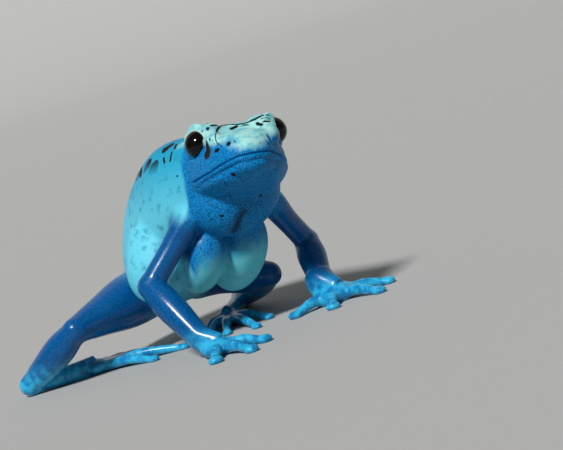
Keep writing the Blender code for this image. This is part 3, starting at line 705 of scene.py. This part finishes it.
def sculpt(body):
    """Carve the mouth, lips, nostrils, ears, lids and folds into the skin."""
    tree = BVHTree.FromObject(body, bpy.context.evaluated_depsgraph_get())
    mouth = [point for point, _ in mouth_path(tree)]
    nostrils = [cast_inward(tree, side, NOSTRIL)[0] for side in (RIGHT, LEFT)]
    ears = [cast_inward(tree, side, EAR)[0] for side in (RIGHT, LEFT)]
    eyes = [HEAD @ eye_centre(side) for side in (RIGHT, LEFT)]
    subdivide_near(body, mouth + nostrils, MOUTH_NEAR)
    subdivide_near(body, mouth, MOUTH_NEAREST)
    subdivide_near(body, eyes, EYE_NEAR)
    subdivide_near(body, lid_edge(RIGHT) + lid_edge(LEFT), LIDS_NEAR)
    points, normals = mesh_points(body), mesh_normals(body)
    gap, along = line_distance(points, mouth)
    ends = smooth_step(0, MOUTH_FADE, along) * smooth_step(0, MOUTH_FADE, 1 - along)
    depth, width = MOUTH_GROOVE
    lift = -depth * bell(gap, width) * (MOUTH_END_DEPTH + (1 - MOUTH_END_DEPTH) * ends)
    creases = ray_line(tree, LIP_CREASE) + ray_line(tree, [(-t, z) for t, z in LIP_CREASE[-2::-1]])
    folds = [(creases, CREASE_GROOVE)]
    for line in (CORNER_FOLD, mirrored(CORNER_FOLD)):
        folds.append(([HEAD @ Vector(p) for p in line], FOLD_GROOVE))
    for line, (depth, width) in folds:
        gap, along = line_distance(points, line)
        lift -= depth * bell(gap, width) * np.sqrt(np.sin(pi * np.clip(along, 0.01, 0.99)))
    for nostril, ear in zip(nostrils, ears):
        gap = point_distance(points, nostril)
        raised, radius, width = NOSTRIL_LIP
        lift += raised * bell(gap - radius, width) - NOSTRIL_PIT[0] * bell(gap, NOSTRIL_PIT[1])
        gap = point_distance(points, ear)
        lift += EAR_LIP[0] * bell(gap - EAR_RADIUS, EAR_LIP[1]) - EAR_SUNK * (gap < EAR_RADIUS)
    for side in (RIGHT, LEFT):
        hollow = on_head(side, EYE_HOLLOW)
        lift -= HOLLOW_SIZE[0] * bell(point_distance(points, hollow), HOLLOW_SIZE[1])
    points += normals * lift[:, None]
    for side in (RIGHT, LEFT):
        open_eye(points, side)
    points[:, 2] = np.maximum(points[:, 2], 0)
    body.data.vertices.foreach_set("co", points.ravel())
    body.data.update()


# Dark marks on the head, in its frame: the line each follows, and its half width
HEAD_MARKS = [
    ([(-4.75, -2.05, 1.7), (-4.78, -2.4, 1.3)], 0.15),
    ([(-3.82, -1.83, 1.76), (-4.38, -2.73, 1.25)], 0.25),
    ([(-3.6, -0.6, 2.3), (-3.2, -0.3, 2.3)], 0.12),
    ([(-3.1, -1.35, 1.95), (-2.4, -0.9, 1.8)], 0.26),
    (
        [
            (-1.1, -0.5, 1.75), (-1.5, -0.3, 1.85), (-2.13, -1.17, 1.62),
            (-2.58, -1.85, 1.3), (-3.0, -3.0, 0.95),
        ],
        0.17,
    ),
    ([(-3.0, -3.0, 0.95), (-3.68, -4.75, 0.33), (-3.9, -5.72, -0.64), (-3.56, -6.55, -1.32)], 0.07),
    ([(-0.72, -1.67, 1.1), (-0.04, -1.48, 1.27)], 0.27),
    ([(0.93, -1.41, 1.3), (1.48, -1.44, 1.24)], 0.16),
    ([(2.6, -1.97, 1.16), (2.93, -3.2, 0.75)], 0.22),
    ([(3.39, -2.87, 1.2), (3.81, -3.41, 1.03)], 0.28),
    ([(3.29, -1.84, 1.66), (3.79, -1.9, 1.72), (4.36, -2.19, 1.58), (4.66, -2.45, 1.28)], 0.11),
    ([(4.19, -1.29, 2.09), (4.67, -1.73, 2.03)], 0.16),
    ([(-1.6, 0.1, 1.9), (-0.59, -0.4, 1.75), (0.21, -1.0, 1.5), (1.25, -0.85, 1.5)], 0.22),
    (
        [(1.25, -0.85, 1.5), (1.94, -0.8, 1.6), (2.67, -1.3, 1.68), (3.22, -1.3, 1.9), (3.73, -1.1, 2.05)],
        0.20,
    ),
    ([(-2.1, -7.63, -0.95), (-2.01, -7.92, -1.23)], 0.07),
    ([(-4.22, -5.69, -1.66), (-3.96, -6.12, -1.58)], 0.24),
    ([(-4.46, -4.4, 0.2), (-4.5, -4.62, -0.07)], 0.15),
    ([(-4.09, -4.3, 0.5)], 0.09),
    ([(-4.2, -5.4, -0.66)], 0.09),
    ([(-2.9, -6.7, -4.99), (-2.77, -6.7, -5.09)], 0.27),
    ([(1.76, 0.32, -7.82)], 0.22),
    ([(-2.47, -0.84, -7.31)], 0.14),
    ([(-3.85, 0.42, -9.45), (-3.6, 0.38, -9.5)], 0.16),
    ([(0.96, -6.5, -5.7)], 0.12),
    ([(-1.5, 2.4, 2.0), (-0.6, 3.0, 2.0)], 0.35),
    ([(1.8, 3.4, 2.0), (2.6, 2.9, 2.0)], 0.30),
    ([(-3.4, 3.6, 1.9), (-3.9, 4.4, 1.8)], 0.28),
]
# Dark marks behind the head, in the body's frame
BODY_MARKS = [
    ([(-5.8, -7.6, 25.5), (-6.4, -8.0, 25.0), (-6.7, -8.2, 24.6)], 0.17),
    ([(-4.5, -6.9, 26.2), (-5.2, -7.6, 25.8)], 0.22),
    ([(-6.6, -6.5, 25.1), (-7.0, -7.1, 24.5)], 0.18),
    ([(-7.3, 0.2, 24.3), (-7.9, -0.8, 23.7)], 0.50),
    ([(-7.3, -10.1, 22.6)], 0.17),
]
# How far off the skin the line of a mark may lie
MARK_REACH = 1.5
# Brown corner before each eye, from the lids towards the lip, with its half width at three places
EYE_CORNER = [(4.95, -3.5, 0.1), (4.92, -3.65, -0.9), (4.95, -3.75, -1.5)]
EYE_CORNER_WIDTHS = (0.28, 0.80, 0.85)
# Radii of the brown in each nostril, and of the blue round the right one
NOSTRIL_BROWN = 0.38
NOSTRIL_HALO = 0.9
# Dusky smudge low on the throat
THROAT_SMUDGE = [(-0.9, 0.4, -9.5), (-1.3, 1.0, -10.0), (-1.7, 1.75, -10.8), (-2.1, 2.9, -11.5)]
SMUDGE_WIDTH = 0.65
# Level over which the head is pale, at distances forward from the eyes
PALE_EDGE = [(-2.0, 0.4), (2.0, -0.6), (4.0, -0.9), (7.0, -1.3), (8.6, -2.4)]
# Where the pale flank meets the blue throat: height, and how far back
FLANK_EDGE = [(13.0, -8.6), (17.0, -11.1), (22.0, -11.3), (25.5, -10.0)]
# Values given to skin that no mark reaches
FAR_AWAY, OUTSIDE = 9.0, -5.0
# How far from their middle lines the arms and legs are dark blue
ARM_REACH, LEG_REACH = 2.3, 3.6
# Painted highlight along the upper edge of the lids: radians past their edge, and its half width
RIM_PAST, RIM_WIDTH = 0.02, 0.05


def tangent_gap(points, normals, line):
    """How far each point is from a line laid on the skin, measured along the skin."""
    line = np.array([tuple(p) for p in line])
    if len(line) == 1:
        line = np.vstack([line, line + (0, 0, 0.01)])
    best = np.full(len(points), FAR_AWAY)
    for a, b in zip(line, line[1:]):
        ab = b - a
        t = np.clip((points - a) @ ab / (ab @ ab), 0, 1)
        away = points - (a + t[:, None] * ab)
        outward = (away * normals).sum(axis=1)
        level = np.linalg.norm(away - outward[:, None] * normals, axis=1)
        best = np.minimum(best, np.where(np.abs(outward) < MARK_REACH, level, FAR_AWAY))
    return best


def mark_field(points, normals, marks):
    """How far inside its nearest mark each point lies, in millimetres; negative outside."""
    field = np.full(len(points), OUTSIDE)
    for line, half_width in marks:
        field = np.maximum(field, half_width - tangent_gap(points, normals, line))
    return field


def limb_mask(points, side, chain, reach, keys):
    """One on a limb, falling to nothing at its root."""
    gap, along = line_distance(points, [Vector(chain[side][key]) for key in keys])
    return smooth_step(reach + 0.7, reach - 0.2, gap) * smooth_step(0.02, 0.14, along)


def paint(body):
    """Soft masks for the shader: where each kind of skin lies, with a painted highlight on the lids and
    partly painted shade on the tops of the belly.
    """
    points, normals = mesh_points(body), mesh_normals(body)
    local = to_head(points)
    facing = normals @ np.array(HEAD.inverted())[:3, :3].T
    _, y, z = local.T
    masks = {}
    # The pale crown and snout
    forward, level = zip(*PALE_EDGE)
    masks["pale"] = np.clip((z - np.interp(-y, forward, level)) / 2 + 0.5, 0, 1)
    masks["pale"] *= smooth_step(7.5, 5.0, y)
    # The chest and belly between the arms
    middle = -1.2 + 0.25 * (points[:, 2] - 15)
    chest = smooth_step(6.6, 5.4, np.abs(points[:, 0] - middle)) * smooth_step(-3.0, -5.0, points[:, 1])
    chest *= smooth_step(19.0, 17.0, points[:, 2])
    # Arms and legs
    limbs = np.zeros(len(points))
    for side in (RIGHT, LEFT):
        limbs = np.maximum(limbs, limb_mask(points, side, ARM, ARM_REACH, ("shoulder", "elbow", "wrist")))
        limbs = np.maximum(limbs, limb_mask(points, side, LEG, LEG_REACH, ("hip", "knee", "heel")))
    masks["digit"] = smooth_step(4.6, 1.6, points[:, 2])
    masks["limb"] = np.maximum(limbs, smooth_step(3.4, 2.6, points[:, 2]) * (1 - chest))
    # The flank and back, behind the edge of the blue throat
    height, back = zip(*FLANK_EDGE)
    edge = points[:, 1] - np.interp(points[:, 2], height, back)
    masks["flank"] = smooth_step(-0.25, 0.35, edge) * (1 - chest)
    # Belly colour low down, going over to a darker azure higher up: partly the lobes' own colour, partly
    # painted shade under the throat
    masks["belly"] = smooth_step(13.6, 8.6, points[:, 2])
    masks["chest"] = chest
    masks["back"] = smooth_step(0.40, 0.75, normals[:, 2]) * smooth_step(-9.0, -6.0, points[:, 1])
    masks["back"] *= smooth_step(15.0, 17.0, points[:, 2])
    masks["high"] = smooth_step(16.0, 27.0, points[:, 2])
    # Marks, in millimetres inside their edge
    masks["mark"] = np.maximum(
        mark_field(local, facing, HEAD_MARKS), mark_field(points, normals, BODY_MARKS)
    )
    brown = np.full(len(points), OUTSIDE)
    rim = np.zeros(len(points))
    for side in (RIGHT, LEFT):
        line = [(side * px, py, pz) for px, py, pz in EYE_CORNER]
        gap, along = line_distance(local, line)
        brown = np.maximum(brown, np.interp(along, (0, 0.5, 1), EYE_CORNER_WIDTHS) - gap)
        nostril = point_distance(local, (side * NOSTRIL[0], *NOSTRIL[1:]))
        brown = np.maximum(brown, NOSTRIL_BROWN - nostril)
        place = local - np.array(eye_centre(side))
        reach = np.linalg.norm(place, axis=1)
        turned = np.arccos(np.clip(place @ lid_axis(side) / np.maximum(reach, 1e-6), -1, 1))
        # Painted highlight just past the upper edge of each lid
        beside = bell(turned - radians(LID_OPENING) - RIM_PAST, RIM_WIDTH)
        beside *= reach < EYE_RADIUS + 2 * LID_STANDOFF
        beside *= smooth_step(0.1, 0.5, (place[:, 2] - place[:, 1]) / EYE_RADIUS)
        rim = np.maximum(rim, beside)
    masks["brown"] = brown
    masks["halo"] = bell(point_distance(local, (RIGHT * NOSTRIL[0], *NOSTRIL[1:])), NOSTRIL_HALO)
    # Painted highlight along the upper edge of the lids
    masks["rim"] = rim
    masks["smudge"] = bell(line_distance(local, THROAT_SMUDGE)[0], SMUDGE_WIDTH)
    for name, values in masks.items():
        attribute = body.data.attributes.new(name, "FLOAT", "POINT")
        attribute.data.foreach_set("value", values.astype(np.float32))


# Colours of the skin and eye
PALE = (0.36, 0.70, 0.66)
PALE_BLUE = (0.06, 0.42, 0.55)
AZURE = (0.0005, 0.22, 0.56)
AZURE_DARK = (0.0003, 0.075, 0.22)
AZURE_LIGHT = (0.02, 0.46, 0.86)
FLANK = (0.13, 0.60, 0.76)
FLANK_HIGH = (0.001, 0.30, 0.50)
FLANK_DARK = (0.004, 0.20, 0.30)
BELLY = (0.10, 0.56, 0.66)
# Tops of the belly lobes: darker azure, partly their own colour and partly painted shade under the throat
BELLY_TOP_TONE_AND_SHADE = (0.001, 0.17, 0.44)
LIMB = (0.0003, 0.115, 0.34)
LIMB_DARK = (0.0002, 0.06, 0.21)
DIGIT = (0.03, 0.44, 0.72)
DIGIT_DARK = (0.008, 0.20, 0.46)
INK = (0.003, 0.004, 0.006)
BROWN = (0.020, 0.008, 0.005)
# Colour of the painted highlight on the upper edge of the lids
LID_HIGHLIGHT = (0.50, 0.62, 0.50)
EYE_BLACK = (0.0015, 0.0015, 0.002)
EYE_FLECK = (0.006, 0.004, 0.003)
FLOOR = (0.44, 0.44, 0.43)
SKY = (0.95, 0.97, 1.0, 1)


class Tree:
    """A material's nodes, made one call at a time."""

    def __init__(self, name):
        self.material = bpy.data.materials.new(name)
        self.material.use_nodes = True
        self.nodes = self.material.node_tree.nodes
        self.links = self.material.node_tree.links
        self.shader = self.nodes["Principled BSDF"]

    def put(self, socket, value):
        if isinstance(value, bpy.types.NodeSocket):
            self.links.new(value, socket)
        elif isinstance(value, tuple) and len(value) == 3 and socket.type == "RGBA":
            socket.default_value = (*value, 1)
        else:
            socket.default_value = value

    def add(self, kind, values=None, out=0, **settings):
        node = self.nodes.new("ShaderNode" + kind)
        for key, value in settings.items():
            setattr(node, key, value)
        for key, value in (values or {}).items():
            self.put(node.inputs[key], value)
        return node.outputs[out]

    def attribute(self, name):
        return self.add("Attribute", attribute_name=name, out=2)

    def mix(self, factor, a, b):
        return self.add("Mix", {0: factor, 6: a, 7: b}, out=2, data_type="RGBA")

    def math(self, operation, a, b=0.0):
        return self.add("Math", {0: a, 1: b}, operation=operation)

    def times(self, a, b):
        return self.math("MULTIPLY", a, b)

    def ramp(self, value, low, high, to_low=0.0, to_high=1.0):
        values = {"Value": value, "From Min": low, "From Max": high, "To Min": to_low, "To Max": to_high}
        return self.add("MapRange", values, interpolation_type="SMOOTHSTEP")

    def noise(self, scale, detail=2.0, where=None, **settings):
        values = {"Scale": scale, "Detail": detail}
        if where is not None:
            values["Vector"] = where
        return self.add("TexNoise", values, **settings)

    def cells(self, scale, where, **settings):
        return self.add("TexVoronoi", {"Vector": where, "Scale": scale}, **settings)

    def shade(self, **values):
        for key, value in values.items():
            self.put(self.shader.inputs[key.replace("_", " ")], value)


# How fine the grain of the skin is: noise and cells to the metre
FINE, COARSE, BROAD = 5200, 900, 700
GRAIN_CELLS, MOTTLE_CELLS, BUMP_CELLS, SPOT_CELLS = 4600, 3600, 3300.0, 300.0
BUMP_HEIGHT = 0.00008


def skin_colour(t, place):
    """Tones of the skin, each laid over the last by its mask."""
    fine = t.noise(FINE, 2.0, place)
    coarse = t.noise(COARSE, 3.0, place)
    broad = t.noise(BROAD, 3.0, place)
    # Azure face and throat: light grains on a darker ground
    ground = t.mix(t.ramp(fine, 0.35, 0.60), AZURE_DARK, AZURE)
    grains = t.ramp(t.cells(GRAIN_CELLS, place, feature="F1"), 0.36, 0.10, 0.0, 0.75)
    azure = t.mix(grains, ground, AZURE_LIGHT)
    # Flank, darker and bluer towards the back, clouded with darker patches
    flank = t.mix(t.attribute("high"), FLANK, FLANK_HIGH)
    cloud = t.times(t.ramp(broad, 0.50, 0.68), t.ramp(coarse, 0.38, 0.62))
    flank = t.mix(t.times(cloud, 0.6), flank, FLANK_DARK)
    # Belly lobes, darker at their tops: partly their own colour, partly painted shade under the throat
    belly = t.mix(t.attribute("belly"), BELLY_TOP_TONE_AND_SHADE, BELLY)
    belly = t.mix(t.times(t.ramp(coarse, 0.45, 0.65), 0.2), belly, PALE)
    low = t.mix(t.attribute("flank"), azure, flank)
    colour = t.mix(t.times(t.attribute("belly"), t.attribute("chest")), low, belly)
    # Crown and snout, mottled pale over blue
    mottle = t.ramp(coarse, 0.42, 0.62, 0.0, 0.65)
    pale = t.mix(mottle, PALE, PALE_BLUE)
    pale = t.mix(t.ramp(t.cells(MOTTLE_CELLS, place, feature="F1"), 0.30, 0.10, 0.0, 0.5), pale, PALE)
    ragged = t.times(t.math("SUBTRACT", coarse, 0.5), 0.9)
    edge = t.math("ADD", t.attribute("pale"), ragged)
    colour = t.mix(t.ramp(edge, 0.35, 0.80), colour, pale)
    colour = t.mix(t.times(t.attribute("halo"), 0.85), colour, AZURE)
    limb = t.mix(t.ramp(fine, 0.35, 0.65), LIMB_DARK, LIMB)
    colour = t.mix(t.attribute("limb"), colour, limb)
    digit = t.mix(t.ramp(coarse, 0.35, 0.60), DIGIT_DARK, DIGIT)
    return t.mix(t.attribute("digit"), colour, digit)


def skin_marks(t, place, colour):
    """Spots, dark marks, brown corners and a painted highlight along the upper edge of the lids, over the
    tones.
    """
    # Dark spots over the back, irregular and of many sizes
    warp = t.noise(300, 2.0, place, out=1)
    moved = t.add("MixRGB", {0: 0.0012, 1: place, 2: warp}, blend_type="LINEAR_LIGHT")
    cells = t.add("TexVoronoi", {"Vector": moved, "Scale": SPOT_CELLS, "Randomness": 0.9}, feature="F1")
    size = t.ramp(t.noise(150, 1.0, place), 0.35, 0.65, 0.10, 0.38)
    spots = t.times(t.ramp(t.math("SUBTRACT", size, cells), -0.015, 0.02), t.attribute("back"))
    colour = t.mix(spots, colour, INK)
    colour = t.mix(t.times(t.attribute("smudge"), 0.75), colour, INK)
    ragged = t.times(t.math("SUBTRACT", t.noise(2600, 2.0, place), 0.5), 0.16)
    colour = t.mix(t.ramp(t.math("ADD", t.attribute("mark"), ragged), -0.03, 0.03), colour, INK)
    colour = t.mix(t.ramp(t.math("ADD", t.attribute("brown"), ragged), -0.03, 0.04), colour, BROWN)
    # Painted highlight along the upper edge of the lids
    return t.mix(t.times(t.attribute("rim"), 0.7), colour, LID_HIGHLIGHT)


def skin_material():
    """Moist blue skin: tones laid over one another by the masks, dark marks, and fine grains."""
    t = Tree("frog_skin")
    place = t.add("TexCoord", out=3)
    colour = skin_marks(t, place, skin_colour(t, place))
    limb = t.attribute("limb")
    cells = {"Vector": place, "Scale": BUMP_CELLS, "Smoothness": 0.6}
    bumps = t.add("TexVoronoi", cells, feature="SMOOTH_F1")
    height = t.math("ADD", t.times(bumps, -1.0), t.times(t.noise(FINE, 2.0, place), 0.4))
    strength = t.math("SUBTRACT", 0.30, t.times(limb, 0.10))
    bump = t.add("Bump", {"Strength": strength, "Distance": BUMP_HEIGHT, "Height": height})
    t.shade(Base_Color=colour, Normal=bump)
    t.shade(Roughness=t.math("SUBTRACT", 0.50, t.times(limb, 0.20)))
    t.shade(Specular_IOR_Level=0.15)
    t.shade(Coat_Weight=t.times(limb, 0.35), Coat_Roughness=0.19)
    return t.material


def eye_material():
    t = Tree("frog_eye")
    place = t.add("TexCoord", out=3)
    fleck = t.ramp(t.noise(2400, 3.0, place), 0.4, 0.7)
    t.shade(Base_Color=t.mix(fleck, EYE_BLACK, EYE_FLECK))
    t.shade(Roughness=0.07, Specular_IOR_Level=0.25)
    return t.material


def floor_material():
    t = Tree("floor_matte")
    t.shade(Base_Color=FLOOR, Roughness=0.9, Specular_IOR_Level=0.1)
    return t.material


def finish_piece(obj, name, material):
    """Into the row frame in metres, smooth, with its material."""
    obj.name = name
    obj.data.name = name
    obj.data.transform(TO_ROW)
    obj.data.update()
    obj.data.materials.clear()
    obj.data.materials.append(material)
    obj.data.shade_smooth()
    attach(obj, "root")


skin = whole_body()
sculpt(skin)
relax(skin, EDGE_ROUNDS, even_strength)
paint(skin)
finish_piece(skin, "frog_skin", skin_material())
flesh = [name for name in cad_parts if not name.startswith("eye")]
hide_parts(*flesh)

eye_skin = eye_material()
for side in (RIGHT, LEFT):
    bm = bmesh.new()
    bmesh.ops.create_icosphere(bm, subdivisions=5, radius=EYE_RADIUS)
    eye = mesh_object("eye", bm)
    eye.data.transform(HEAD @ Matrix.Translation(eye_centre(side)))
    finish_piece(eye, "eyeball_" + SIDE_NAMES[side], eye_skin)
    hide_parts("eye_" + SIDE_NAMES[side])


# Camera: it looks at the head from the frog's right front, turned so that the floor rises to the right
IMAGE_WIDTH, IMAGE_HEIGHT = 563, 450
VIEW_TARGET = Vector((0.3, -15.0, 25.0))
TARGET_IN_PICTURE = (238, 137)
VIEW_AZIMUTH, VIEW_ELEVATION, VIEW_ROLL = -27.0, 6.0, 18.0
VIEW_DISTANCE = 0.300
LENS, SENSOR = 150.0, 36.0


def picture_axes():
    """Right, up and into the picture, in the row frame."""
    azimuth, elevation, roll = radians(VIEW_AZIMUTH), radians(VIEW_ELEVATION), radians(VIEW_ROLL)
    forward = Vector((-sin(azimuth) * cos(elevation), cos(azimuth) * cos(elevation), -sin(elevation)))
    level_right = forward.cross(Vector((0, 0, 1))).normalized()
    level_up = level_right.cross(forward)
    right = cos(roll) * level_right - sin(roll) * level_up
    up = sin(roll) * level_right + cos(roll) * level_up
    return right, up, forward


def place_camera():
    right, up, forward = picture_axes()
    per_pixel = SENSOR / LENS / IMAGE_WIDTH
    across = (TARGET_IN_PICTURE[0] - IMAGE_WIDTH / 2) * per_pixel
    down = (TARGET_IN_PICTURE[1] - IMAGE_HEIGHT / 2) * per_pixel
    ray = forward + right * across - up * down
    data = bpy.data.cameras.new("camera")
    data.lens, data.sensor_width = LENS, SENSOR
    data.clip_start, data.clip_end = 0.01, 50
    camera = bpy.data.objects.new("camera", data)
    bpy.context.scene.collection.objects.link(camera)
    axes = Matrix((right, up, -forward)).transposed().to_4x4()
    camera.matrix_world = Matrix.Translation(TO_ROW @ VIEW_TARGET - ray * VIEW_DISTANCE) @ axes
    bpy.context.scene.camera = camera


# Floor that curves up into a wall behind the frog, in metres
COVE_WIDTH = 8.0
COVE_FRONT, COVE_BACK = -3.0, 1.2
COVE_RADIUS = 0.8
COVE_HEIGHT = 4.0


def cove():
    """The floor and the wall as one smooth sheet, square to the camera."""
    profile = [(COVE_FRONT, 0.0)]
    for turn in np.linspace(0, pi / 2, 24):
        profile.append((COVE_BACK + COVE_RADIUS * sin(turn), COVE_RADIUS * (1 - cos(turn))))
    profile.append((COVE_BACK + COVE_RADIUS, COVE_HEIGHT))
    bm = bmesh.new()
    turn = Matrix.Rotation(radians(VIEW_AZIMUTH), 4, "Z")
    rows = []
    edges = (-COVE_WIDTH / 2, COVE_WIDTH / 2)
    for away, height in profile:
        rows.append([bm.verts.new(turn @ Vector((x, away, height))) for x in edges])
    for near_row, far_row in zip(rows, rows[1:]):
        bm.faces.new((near_row[0], near_row[1], far_row[1], far_row[0]))
    stage = mesh_object("floor", bm)
    stage.data.materials.append(floor_material())
    stage.data.shade_smooth()


# Where the key light stands, seen from the frog in the picture: right, up and towards the camera
KEY_TOWARD = (-0.48, 0.52, 0.70)
KEY_STRENGTH = 3.4
KEY_SPREAD = 10.0
FILL_STRENGTH = 0.12


def lights():
    right, up, forward = picture_axes()
    data = bpy.data.lights.new("key", "SUN")
    data.energy, data.angle = KEY_STRENGTH, radians(KEY_SPREAD)
    key = bpy.data.objects.new("key", data)
    bpy.context.scene.collection.objects.link(key)
    across, above, near_side = KEY_TOWARD
    out = (right * across + up * above - forward * near_side).normalized()
    key.rotation_mode = "QUATERNION"
    key.rotation_quaternion = out.to_track_quat("Z", "Y")
    world = bpy.data.worlds.new("studio")
    world.use_nodes = True
    background = world.node_tree.nodes["Background"]
    background.inputs["Color"].default_value = SKY
    background.inputs["Strength"].default_value = FILL_STRENGTH
    bpy.context.scene.world = world


place_camera()
cove()
lights()
bpy.context.scene.view_settings.view_transform = "Standard"
